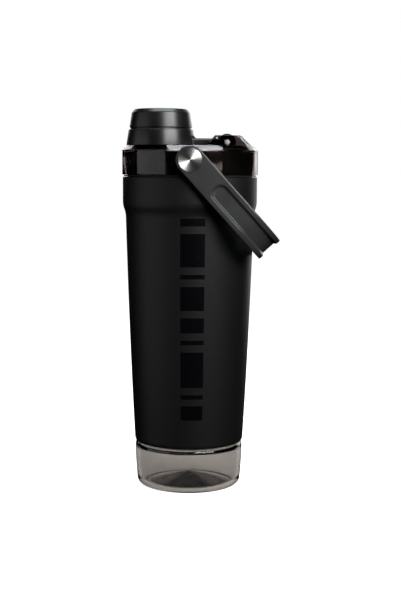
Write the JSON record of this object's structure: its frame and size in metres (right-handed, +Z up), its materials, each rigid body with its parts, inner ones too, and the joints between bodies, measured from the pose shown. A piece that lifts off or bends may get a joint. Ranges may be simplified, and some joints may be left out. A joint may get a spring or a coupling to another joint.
{
  "type": "protein shaker bottle",
  "caption": "Insulated steel shaker bottle with a screw lid, flip-up twist cap, swinging strap handle and a clear screw-on storage cup under the base.",
  "frame": {"origin": "middle of the storage cup's flat underside, where the bottle stands", "axes": "+Z up along the bottle; +X towards the side where the handle hangs, away from the spout; +Y across, along the hinge pin and the handle's pivots"},
  "size_m": [0.1072, 0.105, 0.26],
  "materials": {
    "powder_coat": "matt black powder coat with a fine orange-peel texture",
    "steel": "turned and brushed stainless steel",
    "smoke_clear": "glossy smoke-grey clear plastic",
    "smoke_dark": "glossy, very dark smoke plastic that lets a little light through",
    "satin_black": "satin moulded plastic",
    "satin_grey": "satin dark grey moulded plastic",
    "silicone": "matt black silicone"
  },
  "bodies": {
    "bottle": {"outer_shell": "powder_coat", "inner_liner": "steel", "base_plate": "steel", "vacuum_getter": "steel", "base_collar": "satin_black"},
    "lid_seal_ring": {"lid_gasket": "silicone"},
    "lid": {"lid_shell": "smoke_dark", "inner_lid": "satin_black", "hinge_pin": "steel", "pivot_pin_front": "steel", "pivot_pin_back": "steel"},
    "mixing_grid": {"agitator": "satin_grey"},
    "carry_handle": {"handle": "satin_grey", "pivot_bush_front": "satin_black", "pivot_bush_back": "satin_black"},
    "carrier": {"cap_carrier": "satin_black"},
    "cap_seal_ring": {"cap_seal": "silicone"},
    "cap": {"cap_shell": "satin_black", "cap_thread_insert": "satin_black"},
    "cup_seal_ring": {"cup_gasket": "silicone"},
    "cup": {"storage_cup": "smoke_clear"}
  },
  "joints": [
    {"name": "lid_rise", "type": "slide", "parent": "bottle", "child": "lid_seal_ring", "axis": [0, 0, 1], "range_m": [0, 0.018]},
    {"name": "lid_twist", "type": "hinge", "parent": "lid_seal_ring", "child": "lid", "pos_m": [0, 0, 0.2154], "axis": [0, 0, 1], "range_deg": [0, 360]},
    {"name": "cup_drop", "type": "slide", "parent": "bottle", "child": "cup_seal_ring", "axis": [0, 0, -1], "range_m": [0, 0.016]},
    {"name": "cup_twist", "type": "hinge", "parent": "cup_seal_ring", "child": "cup", "pos_m": [0, 0, 0.0306], "axis": [0, 0, -1], "range_deg": [0, 360]},
    {"name": "handle_swing", "type": "hinge", "parent": "lid", "child": "carry_handle", "pos_m": [0, 0, 0.2253], "axis": [0, -1, 0], "range_deg": [0, 275.5]},
    {"name": "cap_flip", "type": "hinge", "parent": "lid", "child": "carrier", "pos_m": [0.025, 0, 0.2375], "axis": [0, 1, 0], "range_deg": [0, 176]},
    {"name": "cap_rise", "type": "slide", "parent": "carrier", "child": "cap_seal_ring", "axis": [0, 0, 1], "range_m": [0, 0.003]},
    {"name": "cap_twist", "type": "hinge", "parent": "cap_seal_ring", "child": "cap", "pos_m": [-0.0201, 0, 0.2473], "axis": [0, 0, 1], "range_deg": [0, 180]},
    {"name": "grid_pull", "type": "slide", "parent": "lid", "child": "mixing_grid", "axis": [0, 0, -1], "range_m": [0, 0.012]}
  ],
  "couplings": [
    {"joint": "lid_rise", "follows": "lid_twist", "m_per_rad": 0.0028647},
    {"joint": "cup_drop", "follows": "cup_twist", "m_per_rad": 0.0025464},
    {"joint": "cap_rise", "follows": "cap_twist", "m_per_rad": 0.0009549}
  ]
}
